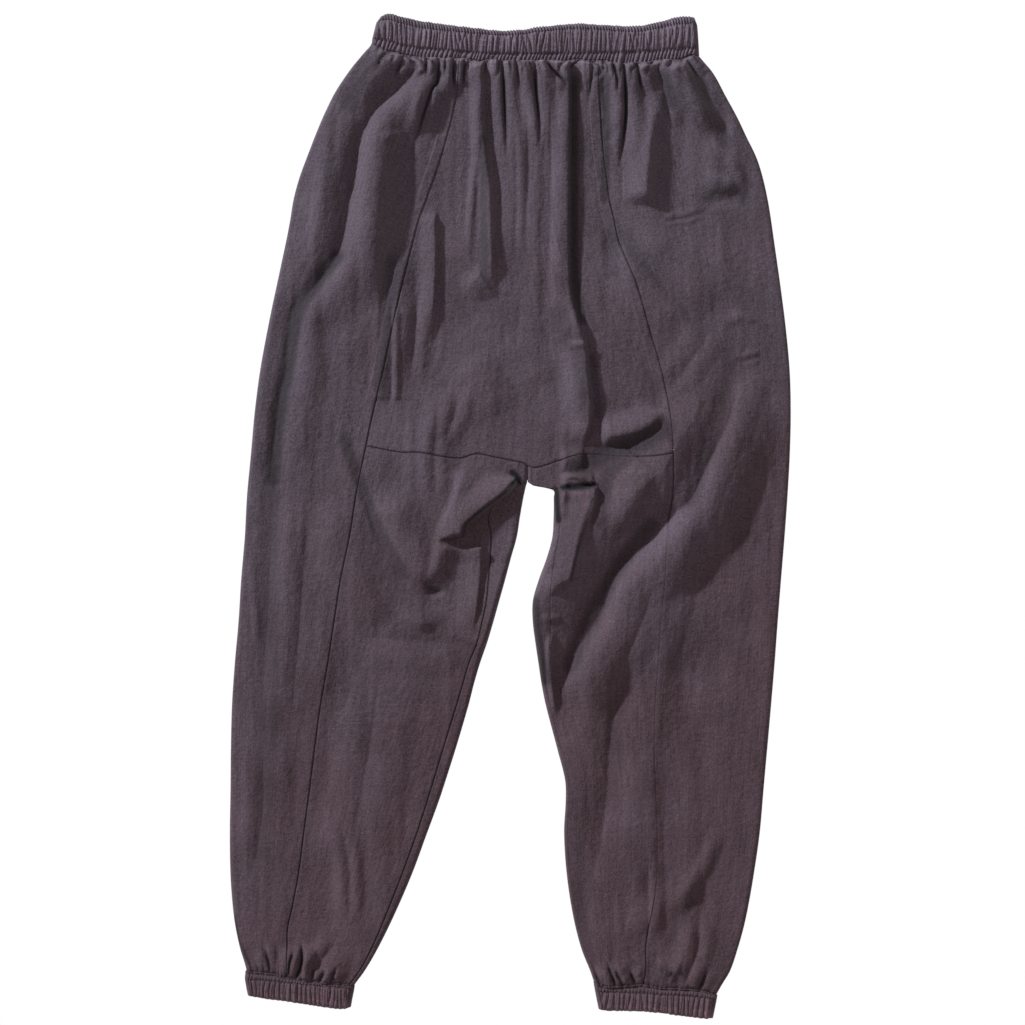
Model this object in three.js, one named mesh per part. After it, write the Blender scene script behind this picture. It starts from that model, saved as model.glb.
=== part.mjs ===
// Drop-crotch jogger pants lying flat on their back, as cut and sewn cloth pieces.
// Millimetres. +X runs across the front, +Y towards the waist, +Z up out of the cloth.
// The origin is on the surface that they lie on, under the middle of their outline.
import * as THREE from 'three';

// Driving dimensions
const WALL = 1.8;              // one layer of cloth with its seam turnings
const SEAM_GAP = 0.3;          // between two pieces that are sewn to each other
const BAND_GAP = 0.8;          // the same where gathers meet a band
const CROTCH_GAP = 0.5;        // the same at the curved crotch seam
const LAY = 2 * WALL + 0.5;    // outer face of the front where it lies flat on the back
const LOFT = 3.5;              // how much the front stands off the back between folds
const EDGE_ROUND = 5;          // half width of the turned edge at the outside of a leg
const MIN_STRIP = 4;           // least width of inner-leg cloth that turns to the front
const EDGE_SHARE = 0.55;       // how much of the loft is left at the outside of a leg
const EDGE_SLOPE = 40;         // width over which the front sinks to that
const FOLD_TAPERS = { start: 0.15, end: 0.2 };
const LEVELS = { header: 6.4, channel: 9.2, frill: 6.6, top: 5 };
const CUFF_LEVELS = { header: 6, channel: 7.6, edge: 5 };
const HIP_ROWS = 16;
const LEG_ROWS = 19;
const WAIST_GATHERS = 22;
const WAIST_GATHER_RISE = 4.5;
const WAIST_GATHER_LENGTH = 34;
const CUFF_GATHERS = 7;
const CUFF_GATHER_RISE = 3.5;
const CUFF_GATHER_LENGTH = 22;
const WAIST_RIBS = 62;
const CUFF_RIBS = 20;
const CLOTH = { color: 0x6e626c, roughness: 0.92, metalness: 0 };

// A smooth line through the rows of a table: the value of one column against another.
function smoothLine(rows, from, to) {
  const points = rows.map((row) => [row[from], row[to]]).sort((a, b) => a[0] - b[0]);
  const slope = points.map((point, i) => {
    const before = points[Math.max(i - 1, 0)];
    const after = points[Math.min(i + 1, points.length - 1)];
    return (after[1] - before[1]) / (after[0] - before[0]);
  });
  return (at) => {
    if (at <= points[0][0]) return points[0][1];
    if (at >= points[points.length - 1][0]) return points[points.length - 1][1];
    const i = points.findIndex((point) => point[0] > at) - 1;
    const span = points[i + 1][0] - points[i][0];
    const t = (at - points[i][0]) / span;
    const t2 = t * t;
    const t3 = t2 * t;
    return (2 * t3 - 3 * t2 + 1) * points[i][1] + (t3 - 2 * t2 + t) * span * slope[i]
      + (3 * t2 - 2 * t3) * points[i + 1][1] + (t3 - t2) * span * slope[i + 1];
  };
}

// Sections across the garment, from the waist down: where each lengthwise line stands.
// Columns: height, left outside edge, left front seam, right front seam, right outside edge
const SECTIONS = [
  [446, -132, -47, 83, 173],
  [436, -141, -48, 83, 179],
  [420, -154, -49, 84, 193],
  [400, -167, -51, 84, 204],
  [380, -176, -54, 86, 215],
  [340, -193, -65, 89, 234],
  [300, -205, -79, 94, 244],
  [260, -213, -92, 103, 251],
  [220, -221, -102, 119, 256],
  [180, -229, -111, 131, 261],
  [140, -237, -120, 143, 265],
  [100, -242, -129, 151, 266],
  [60, -246, -138, 154, 265],
  [20, -250, -146, 153, 263],
  [-20, -252, -152, 148, 260],
  [-60, -255, -160, 146, 257],
  [-100, -258, -167, 142, 254],
  [-140, -261, -173, 140, 251],
  [-180, -264, -180, 137, 247],
  [-220, -265, -185, 137, 244],
  [-260, -265.5, -190, 138, 240],
  [-300, -266, -195, 139, 237],
  [-340, -265.5, -201, 139, 231],
  [-370, -263, -206, 135, 226],
  [-390, -260, -211, 131, 222],
  [-410, -256, -211, 128, 216],
  [-431, -250, -212, 129, 209],
  [-454, -250, -212, 125, 195],
];
const outerLeft = smoothLine(SECTIONS, 0, 1);
const seamLeft = smoothLine(SECTIONS, 0, 2);
const seamRight = smoothLine(SECTIONS, 0, 3);
const outerRight = smoothLine(SECTIONS, 0, 4);

// Sections of the legs' inner edges, with the inseams that show on the front.
// Columns: height, left inseam, left inner edge, right inner edge, right inseam
const LEG_SECTIONS = [
  [58, 10, 16, 17, 23],
  [45, 8, 16, 17, 25],
  [30, 4, 15, 28, 36],
  [18, -8, 13, 40, 47],
  [0, -20, 9, 41, 48],
  [-20, -18, 6, 40, 46],
  [-40, -19, 1, 34, 42],
  [-60, -20, -5, 27, 37],
  [-80, -22, -10, 22, 34],
  [-110, -29, -19, 22, 37],
  [-140, -39, -29, 27, 36],
  [-180, -51, -40, 34, 40],
  [-220, -63, -51, 44, 50],
  [-260, -75, -64, 53, 58],
  [-300, -88, -79, 51, 56],
  [-340, -103, -93, 54, 59],
  [-380, -118, -111, 60, 65],
  [-410, -131, -126, 67, 73],
  [-431, -143, -138, 76, 81],
  [-446, -154, -149, 81, 86],
];
const inseamLeft = smoothLine(LEG_SECTIONS, 0, 1);
const innerLeft = smoothLine(LEG_SECTIONS, 0, 2);
const innerRight = smoothLine(LEG_SECTIONS, 0, 3);
const inseamRight = smoothLine(LEG_SECTIONS, 0, 4);

// Heights of the waistband's lines along it.
// Columns: across, body seam, lower stitch row, upper stitch row, gathered top edge
const WAIST_LINES = [
  [-131, 446, 452, 467.5, 470],
  [-117, 440, 451, 469.5, 476],
  [-105, 437, 446.5, 466.5, 474],
  [-86, 435, 444, 462, 469.5],
  [-67, 433.5, 442, 459.5, 466.5],
  [-29, 431.5, 439, 456, 462],
  [0, 431, 438, 455, 460],
  [28, 431, 438, 458, 463.5],
  [62, 431, 438, 461, 466.5],
  [85, 430, 439, 460, 466],
  [119, 429, 440, 458, 464.5],
  [138, 430.5, 441, 461, 467.5],
  [157, 433, 443, 465, 472.5],
  [171, 435.5, 444, 465.5, 473.5],
  [179, 436.5, 444, 465.5, 471],
];
const waistSeam = smoothLine(WAIST_LINES, 0, 1);
const waistLines = [1, 2, 3, 4].map((column) => smoothLine(WAIST_LINES, 0, column));

// The seam across the front at the crotch. Columns: across, height
const CROTCH_LINE = [
  [-134, 66], [-105, 60.5], [-86, 60], [-54, 55], [-32, 58.5], [-10, 55], [12, 50],
  [22, 46.5], [35, 48.5], [47, 53], [68, 58.5], [104, 56.5], [133, 56.5], [154, 59],
];
const crotchSeam = smoothLine(CROTCH_LINE, 0, 1);

// The same seam on the back: a shallow V, deepest where the legs part
const BACK_CROTCH = { middle: 14, lowest: 51, slope: 0.07 };
function backCrotchSeam(x) {
  return BACK_CROTCH.lowest + BACK_CROTCH.slope * Math.abs(x - BACK_CROTCH.middle);
}

// Heights of the cuffs' lines along them. Columns: across, leg seam, stitch row, lower edge
const LEFT_CUFF_LINES = [
  [-251, -431, -439, -453],
  [-223, -433.5, -440.5, -457.5],
  [-212, -436.5, -441.5, -459],
  [-181, -440.5, -445, -464],
  [-160, -442.5, -447, -466],
  [-149, -444.5, -449, -465],
];
const RIGHT_CUFF_LINES = [
  [80, -442.5, -449, -466],
  [92, -445, -450, -467.5],
  [126, -444.5, -452, -468.5],
  [142, -446.5, -453, -470],
  [171, -448.5, -455, -474],
  [195, -453.5, -458, -475.5],
];
const cuffLines = {
  left: [1, 2, 3].map((column) => smoothLine(LEFT_CUFF_LINES, 0, column)),
  right: [1, 2, 3].map((column) => smoothLine(RIGHT_CUFF_LINES, 0, column)),
};

// The large folds of the front. A fold climbs slowly over its lit back, then drops over its
// shaded face. The path runs down the middle of that face, which falls to the path's left.
// Columns: path, face width, back width, rise
const FOLDS = [
  [[[-91, 431], [-101, 416], [-110, 400]], 8, 18, 6],
  [[[-126, 410], [-146, 372], [-157, 310], [-181, 248], [-207, 196], [-213, 130]], 16, 34, 10],
  [[[-213, 130], [-221, 80], [-228, 15]], 12, 22, 3],
  [[[-78, 425], [-90, 357], [-112, 281], [-116, 205], [-124, 134]], 20, 36, 7],
  [[[-66, 428], [-82, 370], [-100, 291], [-102, 262]], 7, 12, 4],
  [[[-105, 208], [-108, 160], [-109, 106]], 11, 12, 4],
  [[[-26, 430], [-22, 348], [-16, 281], [-10, 224]], 12, 15, 7],
  [[[-10, 430], [-6, 386], [-4, 360]], 6, 9, 4],
  [[[22, 430], [26, 396], [28, 343]], 6, 13, 5],
  [[[-64, 280], [-64, 230], [-64, 176]], 12, 18, 4],
  [[[-50, 118], [-55, 95], [-61, 72]], 8, 15, 4],
  [[[-69, 112], [-74, 44], [-72, 18]], 7, 11, 4],
  [[[57, 432], [60, 367], [62, 262], [64, 190], [76, 144], [82, 101], [69, 62]], 9, 38, 12],
  [[[79, 428], [77, 415], [76, 404]], 6, 9, 4],
  [[[99, 425], [101, 395], [103, 370]], 11, 12, 5],
  [[[107, 423], [111, 386], [102, 334]], 7, 11, 4],
  [[[138, 427], [147, 400], [152, 362]], 8, 13, 6],
  [[[163, 430], [176, 403], [190, 374], [201, 360]], 16, 16, 7],
  [[[136, 354], [138, 318], [138, 282]], 24, 18, 7],
  [[[181, 181], [142, 224], [106, 262]], 14, 22, 4],
  [[[190, 182], [176, 153], [149, 113]], 8, 18, 5],
  [[[144, 104], [131, 82], [109, 72], [82, 72]], 14, 24, 8],
  [[[209, 162], [212, 125], [190, 63], [154, 11], [104, -42], [66, -99], [50, -150]], 20, 40, 11],
  [[[247, 133], [226, 63], [185, -32], [161, -118], [144, -178]], 22, 28, 11],
  [[[135, -58], [111, -118], [90, -194], [83, -270], [62, -355]], 20, 32, 7],
  [[[8, 44], [4, 26], [-29, 3], [-42, -11], [-64, -24]], 9, 32, 11],
  [[[-25, -28], [-27, -58], [-34, -110]], 8, 26, 6],
  [[[82, 24], [77, 3], [63, -39], [54, -60], [37, -74]], 9, 26, 9],
  [[[-138, 25], [-119, -32], [-90, -75]], 16, 26, 3],
  [[[-20, 160], [-4, 136], [14, 110]], 20, 32, 3],
  [[[-236, -205], [-236, -270], [-248, -340]], 15, 18, 3],
  [[[-161, -288], [-154, -327], [-154, -385]], 8, 13, 3],
  [[[195, -306], [184, -344], [157, -376], [142, -398]], 16, 24, 5],
  [[[128, -325], [128, -370], [128, -405]], 10, 17, 4],
  [[[175, -382], [177, -403], [163, -446]], 10, 15, 4],
];
const PATH_STEPS = 18;
const foldPaths = FOLDS.map(([path, face, back, rise]) => {
  const curve = new THREE.CatmullRomCurve3(path.map(([x, y]) => new THREE.Vector3(x, y, 0)));
  return { points: curve.getPoints(PATH_STEPS), face, back, rise };
});

function ease(t) {
  const held = Math.min(Math.max(t, 0), 1);
  return held * held * (3 - 2 * held);
}

// Height that one fold adds at a place: back, crest and face across, tapered at both ends.
function foldHeight(fold, x, y) {
  let nearest = Infinity;
  let across = 0;
  let along = 0;
  for (let i = 0; i < fold.points.length - 1; i += 1) {
    const a = fold.points[i];
    const dx = fold.points[i + 1].x - a.x;
    const dy = fold.points[i + 1].y - a.y;
    const share = ((x - a.x) * dx + (y - a.y) * dy) / (dx * dx + dy * dy);
    const t = Math.min(Math.max(share, 0), 1);
    const ox = x - a.x - t * dx;
    const oy = y - a.y - t * dy;
    const distance = Math.hypot(ox, oy);
    if (distance < nearest) {
      nearest = distance;
      across = distance * Math.sign(dx * oy - dy * ox);
      along = (i + t) / PATH_STEPS;
    }
  }
  const taper = ease(along / FOLD_TAPERS.start) * ease((1 - along) / FOLD_TAPERS.end);
  const crest = -fold.face / 2;
  const shape = across > crest
    ? ease((fold.face / 2 - across) / fold.face)
    : ease((across - crest + fold.back) / fold.back);
  return fold.rise * taper * shape;
}

// Where each band begins and ends across the garment
const BAND_ENDS = { waist: [-131, 179], left: [-251, -149], right: [80, 195] };

// Gathers under a band: waves of uneven width that die away along the cloth.
function gatherWave(x, start, end, count) {
  const place = (x - start) / (end - start);
  const uneven = place * count + 0.32 * Math.sin(place * 23) + 0.2 * Math.sin(place * 51 + 1);
  return 0.5 - 0.5 * Math.cos(2 * Math.PI * uneven);
}

function cuffSide(x) {
  return x < 20 ? 'left' : 'right';
}

// Outer face of the front layer over the whole garment.
function frontHeight(x, y) {
  const folds = foldPaths.reduce((sum, fold) => sum + foldHeight(fold, x, y), 0);
  const below = Math.max(waistSeam(x) - y, 0);
  const waist = WAIST_GATHER_RISE * gatherWave(x, ...BAND_ENDS.waist, WAIST_GATHERS)
    * Math.exp(-below / WAIST_GATHER_LENGTH);
  const side = cuffSide(x);
  const above = Math.max(y - cuffLines[side][0](x), 0);
  const cuff = CUFF_GATHER_RISE * gatherWave(x, ...BAND_ENDS[side], CUFF_GATHERS)
    * Math.exp(-above / CUFF_GATHER_LENGTH);
  const edge = Math.min(x - outerLeft(y), outerRight(y) - x);
  const settle = EDGE_SHARE + (1 - EDGE_SHARE) * ease(edge / EDGE_SLOPE);
  return LAY + (LOFT + folds + waist + cuff) * settle;
}

// Height across the cloth of one row: rows 0 to HIP_ROWS run from the waist to the crotch
// seam, and the next LEG_ROWS run on to the cuff. They are shared by pieces that meet.
function rowHeight(row, x, layer = 'front') {
  const crotch = layer === 'back' ? backCrotchSeam(x) : crotchSeam(x);
  if (row <= HIP_ROWS) {
    const waist = waistSeam(x);
    return waist + (crotch - waist) * (row / HIP_ROWS);
  }
  const t = (row - HIP_ROWS) / LEG_ROWS;
  const cuff = cuffLines[cuffSide(x)][0](x);
  return crotch + (cuff - crotch) * (0.72 * t + 0.28 * t * t);
}

// Where a row crosses a lengthwise line: a guess on an even spacing, then made exact.
const FIRST_GUESS = { waist: 400, spacing: 22, passes: 12 };
function crossing(line, row) {
  let x = line(FIRST_GUESS.waist - row * FIRST_GUESS.spacing);
  for (let i = 0; i < FIRST_GUESS.passes; i += 1) x = line(rowHeight(row, x));
  return x;
}

// One closed wall from matching nets of outer and inner points.
function wallMesh(name, outer, inner, ring = false) {
  const rows = outer.length;
  const columns = outer[0].length;
  const positions = [...outer.flat(), ...inner.flat()].flatMap((p) => [p.x, p.y, p.z]);
  const index = [];
  const quad = (a, b, c, d) => index.push(a, b, c, a, c, d);
  const at = (row, column) => row * columns + (column % columns);
  const shift = rows * columns;
  const last = ring ? columns : columns - 1;
  for (let r = 0; r < rows - 1; r += 1) {
    for (let c = 0; c < last; c += 1) {
      quad(at(r, c), at(r + 1, c), at(r + 1, c + 1), at(r, c + 1));
      quad(shift + at(r, c), shift + at(r, c + 1), shift + at(r + 1, c + 1), shift + at(r + 1, c));
    }
  }
  for (let c = 0; c < last; c += 1) {
    quad(at(0, c), at(0, c + 1), shift + at(0, c + 1), shift + at(0, c));
    quad(at(rows - 1, c + 1), at(rows - 1, c), shift + at(rows - 1, c), shift + at(rows - 1, c + 1));
  }
  for (let r = 0; r < rows - 1 && !ring; r += 1) {
    quad(at(r + 1, 0), at(r, 0), shift + at(r, 0), shift + at(r + 1, 0));
    quad(at(r, last), at(r + 1, last), shift + at(r + 1, last), shift + at(r, last));
  }
  const geometry = new THREE.BufferGeometry();
  geometry.setAttribute('position', new THREE.Float32BufferAttribute(positions, 3));
  geometry.setIndex(volume(positions, index) > 0 ? index : index.reverse());
  geometry.computeVertexNormals();
  const mesh = new THREE.Mesh(geometry, new THREE.MeshStandardMaterial(CLOTH));
  mesh.name = name;
  return mesh;
}

function volume(positions, index) {
  const point = (i) => new THREE.Vector3().fromArray(positions, 3 * index[i]);
  let sum = 0;
  for (let i = 0; i < index.length; i += 3) {
    sum += point(i).dot(point(i + 1).cross(point(i + 2)));
  }
  return sum / 6;
}

// Height of a row, with half a seam's gap taken off where the piece begins or ends.
function trimmed(row, first, last, x, layer) {
  const gap = row === HIP_ROWS ? CROTCH_GAP : BAND_GAP;
  const trim = (row === first ? -gap / 2 : 0) + (row === last ? gap / 2 : 0);
  return rowHeight(row, x, layer) + trim;
}

// A piece that lies in one layer, between two lengthwise lines.
function flatPiece(name, lineA, lineB, first, last, columns, layer) {
  const outer = [];
  const inner = [];
  for (let row = first; row <= last; row += 1) {
    const from = crossing(lineA, row) + SEAM_GAP / 2;
    const to = crossing(lineB, row) - SEAM_GAP / 2;
    const outerRow = [];
    const innerRow = [];
    for (let c = 0; c <= columns; c += 1) {
      const x = from + (to - from) * (c / columns);
      const y = trimmed(row, first, last, x, layer);
      const z = layer === 'front' ? frontHeight(x, y) : 0;
      outerRow.push(new THREE.Vector3(x, y, z));
      innerRow.push(new THREE.Vector3(x, y, layer === 'front' ? z - WALL : WALL));
    }
    outer.push(outerRow);
    inner.push(innerRow);
  }
  return wallMesh(name, outer, inner);
}

// A piece that turns round an edge, from a line on the front to a line on the back.
function turnedPiece(name, lines, first, last, columns) {
  const outer = [];
  const inner = [];
  const outward = lines.outward;
  for (let row = first; row <= last; row += 1) {
    const front = crossing(lines.front, row) + (outward * SEAM_GAP) / 2;
    const edge = crossing(lines.edge, row);
    const back = crossing(lines.back, row) + (outward * SEAM_GAP) / 2;
    const round = Math.min(EDGE_ROUND, 0.75 * Math.max(Math.abs(edge - front), MIN_STRIP));
    const turn = edge - outward * round;
    const half = frontHeight(turn, rowHeight(row, turn)) / 2;
    const outerRow = [];
    const innerRow = [];
    const push = (xo, zo, xi, zi, layer) => {
      const y = trimmed(row, first, last, xo, layer);
      outerRow.push(new THREE.Vector3(xo, y, zo));
      innerRow.push(new THREE.Vector3(xi, y, zi));
    };
    for (let c = 0; c < columns.front; c += 1) {
      const x = front + (turn - front) * (c / columns.front);
      const z = frontHeight(x, trimmed(row, first, last, x));
      push(x, z, x, z - WALL);
    }
    for (let c = 0; c <= columns.round; c += 1) {
      const angle = Math.PI / 2 - (Math.PI * c) / columns.round;
      const reach = outward * Math.cos(angle);
      const lift = Math.sin(angle);
      push(turn + round * reach, half + half * lift,
        turn + (round - WALL) * reach, half + (half - WALL) * lift);
    }
    for (let c = 1; c <= columns.back; c += 1) {
      const x = turn + (back - turn) * (c / columns.back) ** 1.4;
      push(x, 0, x, WALL, 'back');
    }
    outer.push(outerRow);
    inner.push(innerRow);
  }
  return wallMesh(name, outer, inner);
}

// A gathered band that runs right round: ribs stand in its outer points on the front.
// Each line has its two ends, its height across, and the level and rise of its ribs.
function gatheredBand(name, lines, ribs, backColumns, roundColumns) {
  const steps = 2 * ribs;
  const places = [0];
  for (let i = 0; i < steps; i += 1) {
    places.push(places[i] + 1 + 0.32 * Math.sin(1.7 * i) + 0.22 * Math.sin(0.61 * i + 2));
  }
  const outer = [];
  const inner = [];
  lines.forEach((line) => {
    const outerRow = [];
    const innerRow = [];
    const [left, right] = line.ends;
    const push = (xo, zo, xi, zi) => {
      outerRow.push(new THREE.Vector3(xo, line.height(xo), zo));
      innerRow.push(new THREE.Vector3(xi, line.height(xo), zi));
    };
    const turnLeft = left + EDGE_ROUND - 1;
    const turnRight = right - EDGE_ROUND + 1;
    for (let c = 0; c <= steps; c += 1) {
      const x = turnLeft + (turnRight - turnLeft) * (places[c] / places[steps]);
      const level = line.level(x);
      const crest = c % 2 === 1 ? line.rise * (0.75 + 0.25 * Math.sin(2.3 * c)) : 0;
      push(x, level + crest, x, level - WALL);
    }
    const turnRound = (turn, outward, fromTop) => {
      const half = line.level(turn) / 2;
      const round = EDGE_ROUND - 1;
      for (let c = 1; c < roundColumns; c += 1) {
        const angle = fromTop * (Math.PI / 2 - (Math.PI * c) / roundColumns);
        const reach = outward * Math.cos(angle);
        push(turn + round * reach, half * (1 + Math.sin(angle)),
          turn + (round - WALL) * reach, half + (half - WALL) * Math.sin(angle));
      }
    };
    turnRound(turnRight, 1, 1);
    for (let c = 0; c <= backColumns; c += 1) {
      const x = turnRight + (turnLeft - turnRight) * (c / backColumns);
      push(x, 0, x, WALL);
    }
    turnRound(turnLeft, -1, -1);
    outer.push(outerRow);
    inner.push(innerRow);
  });
  return wallMesh(name, outer, inner, true);
}

// Waistband: one casing with a header, an elastic channel and a gathered top edge
function makeWaistband() {
  const [seam, lower, upper, top] = waistLines;
  const bodySeam = (x) => seam(x) + BAND_GAP / 2;
  const channel = (x) => (lower(x) + upper(x)) / 2;
  const bodyLevel = (x) => frontHeight(x, seam(x));
  return gatheredBand('waistband', [
    { ends: [-131, 179.5], height: bodySeam, level: bodyLevel, rise: 0.6 },
    { ends: [-131, 179], height: lower, level: () => LEVELS.header, rise: 1.2 },
    { ends: [-130.5, 178.5], height: channel, level: () => LEVELS.channel, rise: 2.2 },
    { ends: [-127, 177.5], height: upper, level: () => LEVELS.frill, rise: 1.2 },
    { ends: [-124, 175], height: top, level: () => LEVELS.top, rise: 1.4 },
  ], WAIST_RIBS, 14, 4);
}

// Cuff: a gathered header and an elastic channel
function makeCuff(side, seamEnds, edgeEnds) {
  const [seam, stitch, edge] = cuffLines[side];
  const legSeam = (x) => seam(x) - BAND_GAP / 2;
  const channel = (x) => 0.45 * stitch(x) + 0.55 * edge(x);
  const legLevel = (x) => frontHeight(x, seam(x));
  const mid = seamEnds.map((end, i) => (end + edgeEnds[i]) / 2);
  return gatheredBand(`cuff_${side}`, [
    { ends: edgeEnds, height: edge, level: () => CUFF_LEVELS.edge, rise: 1.3 },
    { ends: mid, height: channel, level: () => CUFF_LEVELS.channel, rise: 1.8 },
    { ends: seamEnds, height: stitch, level: () => CUFF_LEVELS.header, rise: 1 },
    { ends: seamEnds, height: legSeam, level: legLevel, rise: 0.5 },
  ], CUFF_RIBS, 6, 4);
}

const ALL_ROWS = HIP_ROWS + LEG_ROWS;
const joggers = new THREE.Group();
joggers.add(makeWaistband());

// Front and back centre panels, from the waist to the crotch seam
joggers.add(flatPiece('front_centre_panel', seamLeft, seamRight, 0, HIP_ROWS, 22, 'front'));
joggers.add(flatPiece('back_centre_panel', seamLeft, seamRight, 0, HIP_ROWS, 8, 'back'));

// Side panels, from the waist to the cuff, turned round the outside of the legs
joggers.add(turnedPiece('side_panel_left',
  { front: seamLeft, edge: outerLeft, back: seamLeft, outward: -1 },
  0, ALL_ROWS, { front: 11, round: 3, back: 4 }));
joggers.add(turnedPiece('side_panel_right',
  { front: seamRight, edge: outerRight, back: seamRight, outward: 1 },
  0, ALL_ROWS, { front: 11, round: 3, back: 4 }));

// Inner-leg panels: the front ones lie flat, the back ones turn round to the inseam
joggers.add(flatPiece('front_inner_leg_left', seamLeft, inseamLeft,
  HIP_ROWS, ALL_ROWS, 11, 'front'));
joggers.add(flatPiece('front_inner_leg_right', inseamRight, seamRight,
  HIP_ROWS, ALL_ROWS, 11, 'front'));
joggers.add(turnedPiece('back_inner_leg_left',
  { front: inseamLeft, edge: innerLeft, back: seamLeft, outward: 1 },
  HIP_ROWS, ALL_ROWS, { front: 2, round: 3, back: 4 }));
joggers.add(turnedPiece('back_inner_leg_right',
  { front: inseamRight, edge: innerRight, back: seamRight, outward: -1 },
  HIP_ROWS, ALL_ROWS, { front: 2, round: 3, back: 4 }));

joggers.add(makeCuff('left', [-250.5, -149], [-248.5, -152]));
joggers.add(makeCuff('right', [80.5, 195.5], [84, 192]));

export default joggers;
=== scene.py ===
import math

import bmesh
import bpy
import numpy as np
from mathutils import Matrix


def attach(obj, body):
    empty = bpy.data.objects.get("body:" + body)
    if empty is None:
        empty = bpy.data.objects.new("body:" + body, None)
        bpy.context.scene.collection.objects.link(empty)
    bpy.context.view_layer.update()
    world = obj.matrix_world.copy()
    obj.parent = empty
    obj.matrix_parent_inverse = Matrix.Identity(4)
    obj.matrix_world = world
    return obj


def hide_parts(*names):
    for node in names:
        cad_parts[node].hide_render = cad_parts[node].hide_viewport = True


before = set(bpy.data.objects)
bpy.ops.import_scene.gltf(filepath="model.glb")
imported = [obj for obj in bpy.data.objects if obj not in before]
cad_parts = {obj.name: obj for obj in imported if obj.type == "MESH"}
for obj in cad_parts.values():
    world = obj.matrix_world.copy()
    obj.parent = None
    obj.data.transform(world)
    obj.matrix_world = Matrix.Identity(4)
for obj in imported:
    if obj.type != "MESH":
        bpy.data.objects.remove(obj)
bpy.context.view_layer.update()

# Front and side panels
# The legs and hips are cut from one crinkled cotton and linen cloth. Two side panels run from
# the waist to the cuffs with no outseam; a centre panel and two inner-leg panels a side are
# sewn between them, and the crotch seam crosses the front. All sizes here are millimetres.
MM = 0.001
CLOTH_THICKNESS = 0.7
# The solids' walls: two layers and the air between them, and how far the front rises over them
WALL = 1.8
LAY = 2 * WALL + 0.5
LOFT = 3.5
# How a piece rounds an edge of a leg, and the narrowest strip of it that shows on the front
EDGE_ROUND = 5.0
MIN_STRIP = 4.0
# Places across the garment: its left leg lies left of the first, and the waist between the others
LEG_SPLIT = 20
WAIST_START, WAIST_END = -131, 179

# Columns: height, left outside edge, left seam, right seam, right outside edge
SECTIONS = [
    (447, -132, -47.5, 83, 172), (436, -140.8, -47.7, 83.4, 179.4), (420, -153.6, -48.6, 83.7, 192.7),
    (400, -166.6, -50.7, 84.4, 203.7), (380, -176.2, -54.5, 85.9, 214.6),
    (360, -184.7, -59.6, 87.1, 224.2), (340, -192.6, -65.3, 88.9, 233.9),
    (320, -200, -72.2, 91.9, 240.1), (300, -205.4, -79.2, 94.3, 244.5),
    (280, -208.7, -86.6, 98.8, 247.8), (260, -212.6, -91.9, 103.4, 250.6),
    (220, -221.1, -102.1, 119.5, 256.3), (180, -229.5, -111, 131.2, 261.4),
    (140, -236.8, -119.7, 143, 265.1), (100, -242.1, -129.4, 150.9, 266.2),
    (60, -245.7, -137.8, 153.7, 265.4), (20, -249.6, -145.8, 153.3, 263.2),
    (-20, -251.8, -151.8, 147.7, 260.3), (-60, -255.2, -160.2, 146.2, 257),
    (-100, -257.7, -166.6, 142.5, 253.8), (-140, -261.3, -172.6, 139.8, 250.8),
    (-180, -264, -179.6, 137.3, 247.4), (-220, -265, -185, 136.6, 243.9),
    (-260, -265.4, -190, 138, 240.4), (-300, -266, -195.4, 139.5, 236.8),
    (-340, -265.4, -200.6, 139.1, 231.1), (-370, -263.2, -206.3, 135, 225.9),
    (-390, -260.5, -210.7, 130.9, 221.6), (-410, -256.2, -211.1, 128.5, 216),
    (-431, -250, -211.6, 128.7, 208.8), (-445, -248.8, -212.5, 125.2, 200.5), (-454, -248, -213, 124, 195.5),
]
# Columns: height, left inseam, left inner edge, right inner edge, right inseam
LEG_SECTIONS = [
    (58, 10, 16.8, 16.2, 21), (45, 8, 16.8, 16.2, 21), (32, 3, 16, 17, 22), (29, -1, 15, 22, 27),
    (27, -4, 14.6, 33, 38), (24.5, -7, 14, 41, 45.5), (18, -13, 12.6, 41.3, 47),
    (0, -20.5, 9.4, 41.1, 47), (-20, -17.9, 6.2, 39.8, 46), (-40, -18.8, 0.6, 34.3, 42),
    (-60, -20.3, -4.7, 27, 39), (-80, -22.3, -10.3, 21.4, 38), (-100, -26.4, -15.9, 21.4, 38),
    (-120, -31.3, -21.9, 23.9, 37.8), (-140, -39.3, -28.8, 26.9, 35.3), (-160, -45, -34.6, 29.9, 35.2),
    (-180, -51, -39.7, 34, 38.5), (-220, -63.3, -51.5, 44.5, 48.5), (-250, -72.4, -61, 52, 56),
    (-270, -78.5, -67.6, 52.6, 56.6), (-300, -88.2, -78.6, 51.1, 55), (-340, -102.7, -93.4, 53.7, 57.7),
    (-380, -118.5, -110.8, 59.9, 64), (-410, -131.5, -125.6, 67.5, 71.5),
    (-431, -143, -137.9, 75.8, 80), (-446, -154, -149, 81, 85),
]
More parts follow.
